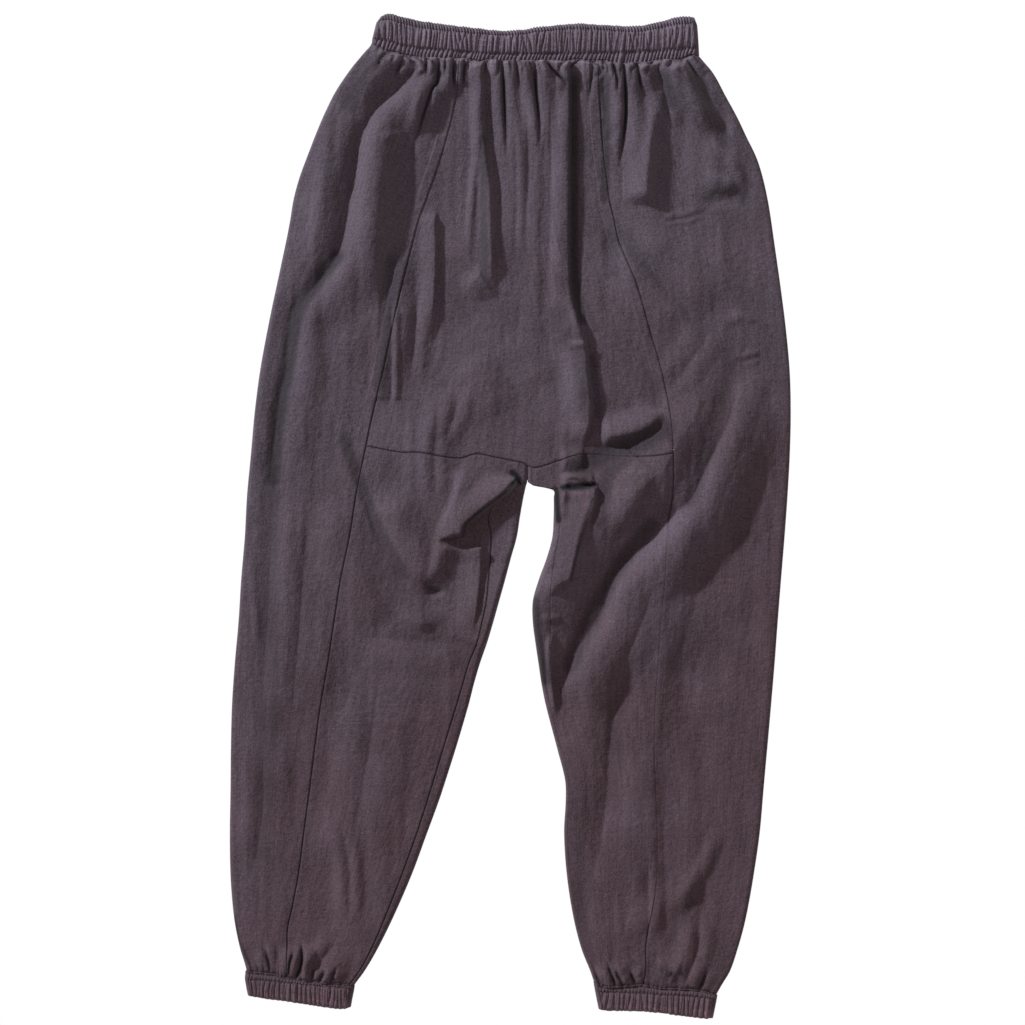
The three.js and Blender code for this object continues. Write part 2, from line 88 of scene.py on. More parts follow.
# Columns: across, body seam, lower stitch row, upper stitch row, gathered top edge
WAIST_LINES = [
    (-131, 447, 452.4, 467.6, 469.5), (-117, 440.1, 451, 469.5, 476.2),
    (-105, 437.2, 446.7, 466.7, 473.8), (-86, 434.9, 443.9, 461.9, 469.5),
    (-67, 433.4, 442, 459.6, 466.7), (-29, 431.5, 439.1, 456.2, 461.9), (0, 431.3, 438.2, 455, 460),
    (28, 431.1, 438.2, 458.1, 463.4), (62, 431.1, 438.2, 461, 466.7), (85, 430.1, 439.1, 460, 465.7),
    (119, 427.7, 440.1, 458.1, 464.3), (138, 430.6, 441, 461, 467.6),
    (157, 432.9, 442.9, 464.8, 472.4), (171, 435.3, 443.9, 465.7, 473.3),
    (179.4, 436.3, 443.9, 465.7, 471.4),
]
# Columns: across, height of the crotch seam
CROTCH_LINE = [
    (-134, 66), (-105, 60.4), (-86, 60.1), (-60, 55.6), (-47, 54.6), (-32, 58.8), (-16, 56),
    (2, 52.5), (12, 50.3), (22, 45.8), (35, 48.4), (47, 52.8), (68, 58.5), (104, 56.6),
    (133, 56.6), (154, 59.1),
]
# Columns: across, leg seam, stitch row, lower edge
LEFT_CUFF_LINES = [
    (-251, -431, -438.7, -453.5), (-223, -433.4, -440.6, -457.7), (-212, -436.8, -441.5, -459),
    (-181, -440.6, -444.5, -463.8), (-160, -442.5, -446.5, -466.2), (-148, -444.4, -448.5, -464.3),
]
RIGHT_CUFF_LINES = [
    (79, -440.6, -449, -466), (88, -444.8, -450.5, -467.4), (126, -443.4, -452, -468.6),
    (142, -446.6, -453, -470), (161, -447.2, -454, -472.5), (180, -449.1, -455.5, -474.8),
    (196, -453.9, -457.7, -475.5),
]


def line_through(rows, column):
    """A smooth line through a table: one column against the first."""
    table = np.array(sorted((row[0], row[column]) for row in rows), float)
    places, values = table.T
    before, after = np.r_[0, : len(places) - 1], np.r_[1 : len(places), len(places) - 1]
    slopes = (values[after] - values[before]) / (places[after] - places[before])

    def at(place):
        place = np.clip(place, places[0], places[-1])
        i = np.clip(np.searchsorted(places, place, side="right") - 1, 0, len(places) - 2)
        span = places[i + 1] - places[i]
        t = (place - places[i]) / span
        rise = (t**3 - 2 * t**2 + t) * slopes[i] + (t**3 - t**2) * slopes[i + 1]
        return values[i] + (3 * t**2 - 2 * t**3) * (values[i + 1] - values[i]) + rise * span

    return at


outer_left, seam_left, seam_right, outer_right = (line_through(SECTIONS, c) for c in (1, 2, 3, 4))
inseam_left, inner_left, inner_right, inseam_right = (line_through(LEG_SECTIONS, c) for c in (1, 2, 3, 4))
waist_lines = [line_through(WAIST_LINES, c) for c in (1, 2, 3, 4)]
crotch_seam = line_through(CROTCH_LINE, 1)
left_cuff_lines = [line_through(LEFT_CUFF_LINES, c) for c in (1, 2, 3)]
right_cuff_lines = [line_through(RIGHT_CUFF_LINES, c) for c in (1, 2, 3)]


def ease(t):
    t = np.clip(t, 0, 1)
    return t * t * (3 - 2 * t)


def ripple(x, y, across, along, seed):
    """Smooth uneven ripples of the given size, from -1 to 1, the same in each run."""
    grid = np.random.default_rng(seed).uniform(-1, 1, (64, 64))
    u, v = x / across + 31.7, y / along + 17.3
    i, j = np.floor(u).astype(int), np.floor(v).astype(int)
    s, t = ease(u - i), ease(v - j)
    i, j, i1, j1 = i % 64, j % 64, (i + 1) % 64, (j + 1) % 64
    near_row = grid[i, j] * (1 - s) + grid[i1, j] * s
    far_row = grid[i, j1] * (1 - s) + grid[i1, j1] * s
    return near_row * (1 - t) + far_row * t


def gathers(x, start, end, count, seed, y=0, uneven=0.9, sharp=0.7):
    """Rounded ribs of uneven width and height side by side, from 0 to 1."""
    pitch = (end - start) / count
    phase = (x - start) / pitch + uneven * ripple(x, y, pitch * 2.2, 14, seed)
    height = 0.65 + 0.35 * ripple(x, y, pitch * 1.7, 20, seed + 1)
    return height * np.abs(np.sin(math.pi * phase)) ** sharp


# The gathers draw the waist seam up into small waves, this high and this long
WAIST_WAVE, WAVE_LENGTH = 1.9, 8


def waist_seam(x):
    return waist_lines[0](x) + WAIST_WAVE * ripple(x, 0 * x, WAVE_LENGTH, 10, 63)


def cuff_seam(x):
    return np.where(x < LEG_SPLIT, left_cuff_lines[0](x), right_cuff_lines[0](x))


# The folds that the cloth fell into. A valley is a sharp line between two rounded lobes, a gather
# a narrower one, a slope one with a straight left flank and a flap one with a left flank only. A
# step is cloth lying over cloth, high on its left, and a ridge is a pinched crest. Left and right
# are as seen when the path runs down the picture, which is how they are written.
# Columns: kind, path, reach to its left and right (a pair where it changes along the path), rise,
# tapers at its ends
FOLDS = [
    # Gathers under the waistband, left side panel
    ("gather", [(-117, 439), (-122, 432), (-126, 420)], 5, 6, 3.4, 0.05, 0.5),
    ("gather", [(-109, 437), (-111, 431), (-112, 426)], 4, 5, 2.4, 0.05, 0.6),
    ("gather", [(-101, 436), (-104, 427), (-110, 414)], 5, 6, 3.4, 0.05, 0.5),
    ("gather", [(-79, 436), (-79, 422), (-80, 412)], 5, 6, 3.8, 0.05, 0.5),
    ("gather", [(-67, 435), (-69, 411), (-74, 403), (-85, 369), (-94, 340)], 7, 8, 3.8, 0.04, 0.5),
    ("gather", [(-61, 435), (-61, 426), (-62, 418)], 4, 4, 2.6, 0.05, 0.5),
    ("ridge", [(-90, 421), (-82, 421), (-75, 423)], 3, 3, 1, 0.2, 0.2),
    # Long lobes of the left side panel
    ("slope", [(-87, 432), (-94, 418), (-107, 403), (-126, 386), (-136, 369), (-143, 348), (-147, 319),
               (-152, 296), (-157, 267), (-166, 242), (-183, 220), (-201, 196), (-209, 172)],
     (36, 20), (15, 18), 15, 0.12, 0.42),
    ("valley", [(-195, 222), (-207, 191), (-211, 163), (-213, 134), (-219, 110), (-222, 82), (-226, 49),
                (-228, 11)], 20, 20, 5.5, 0.15, 0.3),
    ("valley", [(-161, 386), (-165, 357), (-164, 334)], 14, 12, 2, 0.2, 0.3),
    ("step", [(-108, 366), (-112, 348), (-113, 320), (-116, 290), (-118, 255), (-119, 205), (-121, 165)],
     22, (26, 10), 7.5, 0.12, 0.35),
    ("slope", [(-120, 258), (-122, 205), (-123, 167), (-128, 128)], 26, 14, 4, 0.2, 0.3),
    ("valley", [(-112, 205), (-112, 158), (-112, 109)], 10, 4, 2.5, 0.2, 0.05),
    ("ridge", [(-124, 352), (-112, 358), (-99, 359)], 5, 7, 1.8, 0.3, 0.2),
    # Gathers and folds of the front centre panel
    ("gather", [(-54, 434), (-53, 411), (-50, 400)], 6, 7, 3.6, 0.05, 0.5),
    ("gather", [(-43, 432), (-44, 416), (-44, 400)], 5, 6, 3.4, 0.05, 0.6),
    ("step", [(-26, 432), (-25, 405), (-24, 369), (-20, 334), (-17, 310), (-16, 285), (-15, 253), (-14, 212)],
     13, 6, 7.5, 0.04, 0.15),
    ("gather", [(-8, 436), (-6, 404), (-4, 358), (-3, 320)], 6, 7, 4.2, 0.03, 0.6),
    ("gather", [(5, 432), (7, 418), (8, 402)], 5, 5, 3.2, 0.05, 0.6),
    ("gather", [(15, 434), (15, 420)], 3, 4, 2, 0.05, 0.6),
    ("gather", [(23, 432), (24, 407), (27, 375), (28, 335)], 7, 8, 5, 0.03, 0.6),
    ("gather", [(33, 434), (36, 427), (46, 416), (57, 405)], 5, 7, 4, 0.1, 0.3),
    ("ridge", [(-33, 407), (-32, 357), (-36, 306), (-39, 264), (-40, 230)], 5, 6, 2.6, 0.15, 0.4),
    ("step", [(-70, 290), (-69, 253), (-70, 215), (-73, 160)], 16, 4, 5, 0.08, 0.3),
    ("flap", [(-4, 216), (-16, 206), (-30, 203), (-44, 209), (-56, 222)], 18, 6, 5.5, 0.25, 0.3),
    ("valley", [(-59, 212), (-48, 202), (-34, 188)], 4, 5, 1.0, 0.3, 0.4),
    ("valley", [(-50, 124), (-51, 101), (-56, 87), (-61, 66)], 12, 8, 2.6, 0.3, 0.3),
    ("valley", [(-67, 118), (-69, 82), (-71, 53), (-71, 10)], 9, 8, 2.2, 0.3, 0.3),
    ("valley", [(-19, 165), (-5, 137), (14, 107)], 24, 20, 2.8, 0.3, 0.3),
    ("valley", [(3, 395), (6, 330), (5, 260), (2, 205)], 9, 8, 2.4, 0.2, 0.4),
    ("valley", [(15, 405), (17, 350), (16, 290), (13, 215)], 8, 7, 2.2, 0.2, 0.4),
    ("valley", [(38, 405), (39, 350), (38, 280), (36, 177)], 10, 9, 2.4, 0.2, 0.4),
    ("valley", [(-87, 215), (-90, 170), (-95, 120)], 9, 8, 2.2, 0.3, 0.3),
    # The deep pleat beside the right seam
    ("step", [(56, 435), (57, 400), (57, 345), (57, 290), (57, 245), (59, 205), (66, 180)],
     28, 3, 7.5, 0.03, 0.25),
    ("step", [(60, 222), (64, 190), (72, 160), (75, 130), (77, 100), (76, 84), (68, 62)],
     30, 4, 9, 0.3, 0.12),
    ("valley", [(43, 177), (57, 167), (71, 167)], 4, 16, 2.6, 0.3, 0.05),
    ("valley", [(69, 134), (73, 115), (74, 97)], 12, 4, 2, 0.3, 0.3),
    # Gathers and folds of the right hip
    ("gather", [(78, 430), (76, 405), (74, 386)], 6, 6, 2.6, 0.05, 0.6),
    ("gather", [(88, 431), (89, 418)], 4, 4, 2.2, 0.05, 0.6),
    ("gather", [(97, 430), (101, 413), (101, 395)], 6, 6, 4, 0.05, 0.6),
    ("gather", [(107, 431), (109, 400), (109, 376), (105, 342), (101, 320)], 7, 9, 5.5, 0.03, 0.5),
    ("gather", [(119, 430), (123, 408), (125, 395)], 6, 7, 4, 0.05, 0.5),
    ("valley", [(137, 430), (144, 409), (149, 388), (153, 362)], 10, 10, 5, 0.04, 0.4),
    ("step", [(163, 433), (177, 404), (187, 388), (203, 366)], 22, (8, 14), 12, 0.1, 0.4),
    ("gather", [(167, 433), (173, 424), (179, 413)], 5, 6, 3.4, 0.05, 0.5),
    ("step", [(141, 404), (140, 375), (137, 345), (134, 315), (133, 292)], 26, 12, 11, 0.5, 0.12),
    ("ridge", [(101, 370), (96, 360), (92, 352)], 6, 6, -1.6, 0.3, 0.3),
    ("ridge", [(184, 302), (201, 300), (220, 304)], 10, 10, -2.2, 0.3, 0.3),
    ("valley", [(144, 280), (166, 282), (184, 289)], 3, 4, 1.2, 0.2, 0.4),
    ("step", [(183, 330), (200, 322), (222, 316)], 16, 8, 4.5, 0.4, 0.4),
    ("ridge", [(187, 357), (200, 345), (214, 330), (226, 305)], 7, 8, 3, 0.3, 0.3),
    ("valley", [(106, 264), (123, 245), (144, 221), (163, 202), (180, 178)], 20, 22, 5, 0.3, 0.3),
    ("valley", [(189, 181), (183, 163), (176, 153), (164, 136), (154, 125), (149, 111)],
     12, 9, 1.6, 0.2, 0.3),
    ("ridge", [(206, 186), (220, 189), (234, 183)], 7, 6, 1.8, 0.3, 0.3),
    ("valley", [(220, 148), (237, 151)], 4, 4, 1.4, 0.3, 0.3),
    ("step", [(147, 102), (134, 83), (111, 73), (84, 69)], 24, 12, 13, 0.25, 0.15),
    # Right leg
    ("slope", [(214, 150), (214, 120), (207, 91), (197, 68), (185, 44), (171, 15), (157, 3), (133, -23),
               (116, -38), (97, -61), (85, -94), (63, -127), (52, -156), (42, -178)],
     (26, 60), (16, 22), 18, 0.3, 0.12),
    ("flap", [(242, 138), (231, 110), (218, 63), (202, 20), (188, -27), (176, -80), (164, -120), (150, -158),
              (132, -186)], (12, 34), 8, 5.5, 0.2, 0.2),
    ("valley", [(139, -40), (131, -80), (120, -110), (110, -132), (104, -165), (97, -195), (93, -232),
                (91, -270), (87, -298), (82, -322), (74, -341), (64, -360)], 22, 30, 5.5, 0.2, 0.3),
    ("step", [(138, 44), (124, 20), (112, -4), (98, -22)], 26, 14, 6, 0.3, 0.3),
    ("ridge", [(200, -290), (186, -325), (168, -352), (150, -378)], 10, 12, 3.2, 0.3, 0.3),
    ("flap", [(190, -362), (165, -373), (150, -388), (141, -408)], 18, 8, 3.5, 0.3, 0.3),
    ("valley", [(177, -376), (179, -403), (174, -423), (164, -447)], 10, 8, 3, 0.3, 0.2),
    ("valley", [(131, -320), (131, -365), (131, -406)], 10, 8, 2.4, 0.3, 0.3),
    ("valley", [(139, -185), (176, -183), (216, -178)], 4, 4, 0.8, 0.3, 0.3),
    # At the crotch
    ("step", [(-82, -66), (-76, -53), (-72, -43), (-70, -24), (-66, -9), (-55, 14), (-47, 42), (-36, 58)],
     24, 8, 6, 0.2, 0.3),
    ("step", [(6, 38), (3, 27), (-10, 16), (-22, 7), (-35, -3), (-42, -9), (-46, -18), (-55, -20),
              (-70, -23)], (34, 12), 4, 12, 0.05, 0.15),
    ("step", [(-69, -25), (-61, -28), (-48, -30), (-34, -29), (-25, -28)], 14, 3, 3, 0.2, 0.1),
    ("step", [(-25, -28), (-26, -44), (-27, -58), (-29, -77), (-31, -91), (-36, -118)],
     22, 5, 5.5, 0.04, 0.4),
    ("ridge", [(-80, -69), (-72, -72), (-62, -72)], 5, 5, -3.5, 0.3, 0.3),
    ("step", [(82, 29), (82, 20), (80, 11), (76, 1), (69, -17), (63, -39), (57, -59), (49, -64), (36, -76)],
     (26, 14), 4, 11, 0.02, 0.12),
    ("valley", [(44, 27), (44, -6)], 4, 5, 4, 0.1, 0.3),
    ("valley", [(49, 27), (64, 26), (81, 29)], 4, 7, 5, 0.1, 0.1),
    ("ridge", [(51, 37), (61, 38), (71, 35), (83, 29)], 4, 4, 4, 0.2, 0.05),
    ("valley", [(47, 41), (60, 41), (73, 42)], 3, 12, 4.5, 0.2, 0.2),
    ("ridge", [(39, -108), (37, -127), (38, -151), (41, -175), (44, -194)], 5, 6, 5, 0.15, 0.3),
    ("ridge", [(27, -96), (50, -96)], 5, 5, 2.5, 0.3, 0.3),
    ("step", [(-58, -90), (-68, -100), (-82, -106), (-96, -100), (-108, -90), (-122, -76)],
     26, 12, 6, 0.45, 0.5),
    ("slope", [(-140, 30), (-131, -4), (-118, -34), (-103, -59), (-86, -82)], 30, 22, 7, 0.3, 0.2),
    ("valley", [(-143, -112), (-95, -118), (-38, -120)], 16, 16, 2.6, 0.3, 0.3),
    ("slope", [(-222, 60), (-226, -20), (-230, -110), (-236, -200)], 18, 20, 3, 0.3, 0.3),
    ("valley", [(-190, 30), (-196, -60), (-203, -150), (-212, -240)], 16, 20, 2.6, 0.3, 0.3),
    ("valley", [(-120, -130), (-130, -200), (-142, -270), (-158, -350)], 18, 22, 2.6, 0.3, 0.3),
    # Left leg
    ("valley", [(-251, -20), (-247, -80), (-243, -130)], 5, 5, 1.8, 0.3, 0.3),
    ("valley", [(-240, -172), (-209, -174), (-179, -179)], 4, 4, 0.8, 0.3, 0.3),
    ("valley", [(-157, -189), (-105, -192), (-62, -203)], 4, 4, 0.8, 0.3, 0.3),
    ("valley", [(-234, -205), (-234, -270), (-238, -308), (-245, -340)], 15, 14, 2.2, 0.3, 0.3),
    ("valley", [(-161, -285), (-156, -309), (-152, -336), (-152, -390)], 8, 7, 2.4, 0.3, 0.3),
    # Gathers over the cuffs
    ("gather", [(-236, -408), (-230, -417), (-227, -432)], 6, 5, 3, 0.3, 0.1),
    ("gather", [(-246, -424), (-240, -427), (-236, -431)], 4, 3, 2.5, 0.2, 0.2),
    ("gather", [(-204, -410), (-208, -422), (-210, -435)], 6, 4, 3.5, 0.3, 0.1),
    ("gather", [(-198, -404), (-197, -421), (-203, -438)], 8, 5, 4.5, 0.3, 0.1),
    ("valley", [(-164, -400), (-176, -417), (-184, -426), (-187, -434)], 8, 14, 3, 0.4, 0.1),
    ("gather", [(-175, -430), (-181, -441)], 4, 4, 3, 0.3, 0.1),
    ("gather", [(-165, -427), (-170, -441)], 4, 5, 3, 0.3, 0.1),
    ("gather", [(-187, -428), (-187, -440)], 4, 4, 2.5, 0.3, 0.1),
    ("gather", [(79, -430), (86, -444)], 5, 5, 3, 0.3, 0.1),
    ("gather", [(92, -424), (101, -446)], 6, 5, 4, 0.3, 0.1),
    ("gather", [(98, -427), (108, -446)], 5, 5, 3.5, 0.3, 0.1),
    ("gather", [(113, -430), (119, -444)], 5, 6, 3.5, 0.3, 0.1),
    ("gather", [(136, -430), (148, -432), (158, -437)], 4, 7, 3, 0.3, 0.2),
    ("gather", [(186, -430), (180, -447)], 7, 5, 3.5, 0.3, 0.1),
]
# Hollows so deep or narrow that little light gets into them, and the faces of folds that are
# turned from the light. Columns: path, half width, depth of shade
HOLLOWS = [
    # The openings and edges at the crotch, the left cuff's corner and the deep pleat
    ([(51, 27), (60, 27.5), (70, 28), (79, 30)], 3.4, 1.12),
    ([(3, 41), (6, 38), (10, 33)], 3.2, 1.08),
    ([(43.5, 25), (44.5, 10), (46, -4)], 3, 1.05),
    ([(6, 36), (-5, 23), (-19, 12.6), (-33, 1), (-42, -8), (-44, -16)], 1.6, 0.85),
    ([(-43, -18), (-55, -21), (-66, -23)], 1.4, 0.6),
    ([(78, 16), (68, -13), (62, -37), (57, -60)], 1.8, 0.7),
    ([(-77, -65), (-70, -68), (-61, -66)], 4.5, 0.42),
    ([(-261, -379), (-259, -391), (-256, -404), (-251, -415), (-246, -428)], 1.2, 0.9),
    ([(60, 425), (60, 380), (60, 330), (60, 250), (62, 215), (68, 186)], 5.5, 0.74),
    ([(77, 150), (81, 120), (83, 96)], 4, 0.45),
    # Faces of the left side panel and the centre
    ([(-131, 431), (-145, 410), (-152, 387)], 7, 0.28),
    ([(-164, 245), (-183, 222), (-200, 196), (-207, 163), (-214, 125), (-221, 82), (-225, 34)], 8, 0.72),
    ([(-226, 20), (-228, -80), (-228, -175), (-236, -317)], 10, 0.34),
    ([(-156, 72), (-141, 30), (-128, -4), (-113, -33), (-99, -56)], 6, 0.5),
    ([(-112, 240), (-116, 190), (-122, 120)], 7, 0.46),
    ([(-25, 357), (-25, 290), (-24, 224)], 4, 0.5),
    ([(45, 192), (50, 172)], 10, 0.38),
    ([(66, 210), (82, 177)], 4, 0.35),
    ([(66, 153), (70, 115)], 8, 0.36),
    # Faces of the right hip
    ([(91, 414), (91, 348), (90, 300)], 4, 0.58),
    ([(95, 264), (98, 229)], 7, 0.3),
    ([(146, 419), (154, 390)], 5, 0.55),
    ([(133, 134), (140, 106)], 5, 0.28),
    ([(171, 414), (185, 386), (207, 353)], 6, 0.32),
    ([(106, 266), (123, 245), (144, 221), (163, 202), (180, 179)], 9, 0.22),
    ([(187, 302), (202, 306), (220, 302)], 7, 0.3),
    ([(149, 280.5), (166, 283.5), (184, 289)], 1.4, 0.45),
    ([(221, 247), (219, 233), (216, 220)], 8, 0.13),
    ([(209, 178), (208, 160), (203, 135), (196, 104)], 7, 0.3),
    ([(214, 147), (226, 149), (236, 153)], 2.2, 0.4),
    # Faces round the crotch and on the legs
    ([(144, 82), (123, 72), (100, 62), (80, 54), (66, 48)], 12, 0.66),
    ([(108, 54), (92, 38), (84, -3)], 8, 0.5),
    ([(61, 12), (54, -23), (47, -60)], 8, 0.26),
    ([(22, -80), (26, -118), (33, -155)], 6, 0.75),
    ([(133, -8), (100, -51), (76, -98), (57, -141)], 8, 0.55),
    ([(2, -80), (-14, -136), (-31, -184)], 6, 0.62),
    ([(60, -225), (62, -330), (68, -412)], 11, 0.26),
    ([(101, -180), (98, -270)], 10, 0.22),
    ([(209, 148), (195, 91), (171, 15)], 7, 0.38),
    ([(242, 118), (223, 65)], 5, 0.32),
    ([(172, -366), (160, -385), (150, -404)], 5, 0.32),
]
# The painted shade along a gather's line: its width, how high a gather has the darkest line, and how dark
# that is
CREASE_WIDTH, CREASE_HEIGHT, CREASE_SHADE = 1.6, 3.6, 1.08
# The small pleats under the waistband: how many, how narrow their gaps are, how far down the painted shade of
# the gaps and the painted highlight of the heads reach, and how strong that highlight is
PLEATS, PLEAT_GAP, GAP_REACH, HEAD_REACH, HEAD_PAINTED_HIGHLIGHT = 27, 0.34, 13, 11, 1.4
# Points on each leg of a path
PATH_STEPS = 8


def smooth_path(corners):
    """Points on a smooth curve through a fold's corners."""
    corners = np.array(corners, float)
    ends = np.vstack([2 * corners[0] - corners[1], corners, 2 * corners[-1] - corners[-2]])
    t = (np.arange(PATH_STEPS) / PATH_STEPS)[:, None]
    legs = []
    for a, b, c, d in zip(ends, ends[1:], ends[2:], ends[3:]):
        legs.append(0.5 * (2 * b + (c - a) * t + (2 * a - 5 * b + 4 * c - d) * t**2
                           + (3 * b - a - 3 * c + d) * t**3))
    return np.vstack(legs + [corners[-1:]])


# A lobe beside a valley dies away over this many times its rounded width, or its height
LOBE_TAIL, LOBE_FALL = 1.3, 2.4
# How the left and the right flank run down into a line: 1 is straight, more is rounder
CUSPS = {"valley": (1.6, 2.2), "slope": (1.1, 1.8), "flap": (1.3, 1), "gather": (2.8, 2.6)}


def profile(kind, across, left, right, rise):
    """The height of a fold, from 0 to 1, at distances across it."""
    side = np.where(across < 0, left, right)
    t = np.abs(across) / side
    if kind == "ridge":
        return np.clip(1 - t * t, 0, 1) ** 2
    if kind in CUSPS:
        bowl = 1 - np.clip(1 - t, 0, 1) ** np.where(across < 0, *CUSPS[kind])
        bowl = np.where((across > 0) & (kind == "flap"), 0, bowl)
        return bowl * (1 - ease((t - 1) / np.maximum(LOBE_TAIL, LOBE_FALL * rise / side)))
    crest = -right / 2
    return np.where(across > crest, ease((right / 2 - across) / right), ease((across - crest + left) / left))


def beside(x, y, path, reach):
    """The places within reach of a path: which they are, how far across it and how far along it."""
    points = smooth_path(path)
    low, high = points.min(0) - reach, points.max(0) + reach
    near = np.flatnonzero((x > low[0]) & (x < high[0]) & (y > low[1]) & (y < high[1]))
    px, py = x[near], y[near]
    nearest = np.full(px.shape, np.inf)
    across, along = np.zeros(px.shape), np.zeros(px.shape)
    lengths = np.r_[0, np.cumsum(np.hypot(*np.diff(points, axis=0).T))]
    for i, (a, b) in enumerate(zip(points, points[1:])):
        step = b - a
        t = np.clip(((px - a[0]) * step[0] + (py - a[1]) * step[1]) / (step @ step), 0, 1)
        ox, oy = px - a[0] - t * step[0], py - a[1] - t * step[1]
        distance = np.hypot(ox, oy)
        closer = distance < nearest
        nearest = np.where(closer, distance, nearest)
        across = np.where(closer, distance * np.sign(step[0] * oy - step[1] * ox), across)
        along = np.where(closer, lengths[i] + t * (lengths[i + 1] - lengths[i]), along)
    return near, across, along / lengths[-1]


def fold_height(x, y, kind, path, left, right, rise, start, end):
    """What one fold adds to the height of the cloth at each place."""
    reach = max(np.max(left), np.max(right))
    reach = reach + max(LOBE_TAIL * reach, LOBE_FALL * rise) if kind in CUSPS else reach
    near, across, along = beside(x, y, path, reach)
    left, right = (np.interp(along, (0, 1), np.broadcast_to(side, 2)) for side in (left, right))
    added = np.zeros(x.shape)
    taper = ease(along / start) * ease((1 - along) / end)
    added[near] = rise * taper * profile(kind, across, left, right, rise)
    return added


def waist_pleats(x, below):
    """The small pleats under the waistband, from 0 in a gap to 1 on a crest."""
    return gathers(x, WAIST_START, WAIST_END, PLEATS, 3, below)


def hollow_shade(x, y):
    """How much shade lies at each place: none at 0, and black a little over 1."""
    below = np.maximum(waist_seam(x) - y, 0)
    gap = np.exp(-(waist_pleats(x, below) / PLEAT_GAP) ** 2)
    shade = gap * np.exp(-(below / GAP_REACH) ** 2) * (0.7 + 0.5 * ripple(x, 0 * y, 12, 30, 65))
    for path, width, depth in HOLLOWS:
        near, across, along = beside(x, y, path, 3 * width)
        shade[near] = np.maximum(shade[near], depth * np.exp(-(across / width) ** 4))
    for kind, path, _, _, rise, start, end in FOLDS:
        if kind == "gather":
            near, across, along = beside(x, y, path, 3 * CREASE_WIDTH)
            dark = min(CREASE_SHADE, rise / CREASE_HEIGHT)
            dark = dark * ease(along / start) * ease((1 - along) / end)
            shade[near] = np.maximum(shade[near], dark * np.exp(-(across / CREASE_WIDTH) ** 2))
    return shade


def painted_crest_highlight(x, y):
    """Painted highlight: how much lighter the rounded heads of the small pleats are painted than the cloth
    below them.
    """
    below = np.maximum(waist_seam(x) - y, 0)
    head = waist_pleats(x, below) * ease(below / 2)
    return HEAD_PAINTED_HIGHLIGHT * head * np.exp(-(below / HEAD_REACH) ** 2)


# The seams' turnings lie to the left of each lengthwise seam and lift the cloth there. From the
# first height down to the second they fade, because the cloth lies over them
TURNING_WIDTH, TURNING_RISE, TURNING_SLOPE = 9.0, 0.7, 1.6
TURNING_HEIGHTS, TURNING_SHARES = (60, 160), (0.12, 1)
PUCKER, PUCKER_WIDTH = 0.4, 5
HIGHEST_FOLD = 24
# The share of its height that the front keeps at the legs' edges and at the cuffs, and how far
# from them it has all of it
EDGE_SHARE, EDGE_SLOPE = 0.55, 40
CUFF_SHARE, CUFF_SLOPE = 0.65, 22
# Columns: height of the small unevenness of the cloth, its size across and along, seed
CRINKLES = [(0.3, 6, 45, 21), (0.7, 16, 70, 22), (1.4, 38, 60, 23), (0.2, 4, 6, 24)]
# Columns: rise of the gathers over a cuff, how many, how far up they reach, seed
CUFF_GATHERS = [(3.0, 11, 9, 13), (2.2, 21, 5, 15)]
# Rise of the small pleats at the waist seam, what they gain just below it, and their reach down
PLEAT_RISE, PLEAT_GAIN, PLEAT_REACH = 1.5, 2.3, 14


def turning(x, y):
    """What the seam turnings under the front add to its height."""
    height = 0
    for seam in (seam_left, seam_right):
        away = seam(y) - x
        pressed = ease(away / TURNING_SLOPE) * (1 - ease((away - TURNING_WIDTH) / TURNING_SLOPE))
        height = height + TURNING_RISE * pressed * np.interp(y, TURNING_HEIGHTS, TURNING_SHARES)
        height = height + PUCKER * ripple(x, y, 25, 4.5, 61) * np.exp(-(away / PUCKER_WIDTH) ** 2)
    return height


def front_height(x, y):
    """Height of the front layer's outer face over the surface that the garment lies on."""
    folds = sum(fold_height(x, y, *fold) for fold in FOLDS)
    folds = HIGHEST_FOLD * np.tanh(folds / HIGHEST_FOLD)
    below = np.maximum(waist_seam(x) - y, 0)
    waist = (PLEAT_RISE + PLEAT_GAIN * ease(below / 3.5)) * waist_pleats(x, below)
    waist = waist * np.exp(-below / PLEAT_REACH)
    waist += 2.2 * gathers(x, WAIST_START, WAIST_END, 70, 7) * np.exp(-below / 5)
    above = np.maximum(y - cuff_seam(x), 0)
    on_left = x < LEG_SPLIT
    cuff_start, cuff_end = np.where(on_left, -251, 80), np.where(on_left, -149, 195)
    cuff = sum(rise * gathers(x, cuff_start, cuff_end, count, seed) * np.exp(-above / reach)
               for rise, count, reach, seed in CUFF_GATHERS)
    crinkle = sum(rise * ripple(x, y, across, along, seed) for rise, across, along, seed in CRINKLES)
    crinkle += ripple(x, y, 10, 130, 25) * np.interp(y, (100, 330), (0.3, 0.9))
    edge = np.minimum(x - outer_left(y), outer_right(y) - x)
    settle = EDGE_SHARE + (1 - EDGE_SHARE) * ease(edge / EDGE_SLOPE)
    settle = settle * (CUFF_SHARE + (1 - CUFF_SHARE) * ease(above / CUFF_SLOPE))
    return LAY + (LOFT + folds + waist + cuff) * settle + crinkle + turning(x, y)


# Rows cross the whole garment, 0 at the waist seam, 1 at the crotch seam and 2 at the cuff, and
# lie closer together near the crotch. The back's crotch seam is two straight lines
BACK_CROTCH_MIDDLE, BACK_CROTCH_HEIGHT, BACK_CROTCH_SLOPE = 14, 51, 0.07
LEG_CROWDING = 0.28


def row_height(row, x, back=0.0):
    crotch = crotch_seam(x)
    level = BACK_CROTCH_HEIGHT + BACK_CROTCH_SLOPE * np.abs(x - BACK_CROTCH_MIDDLE)
    crotch = crotch + (level - crotch) * back
    hip = waist_seam(x) + (crotch - waist_seam(x)) * np.minimum(row, 1)
    t = np.clip(row - 1, 0, 1)
    return hip + (cuff_seam(x) - crotch) * ((1 - LEG_CROWDING) * t + LEG_CROWDING * t * t)


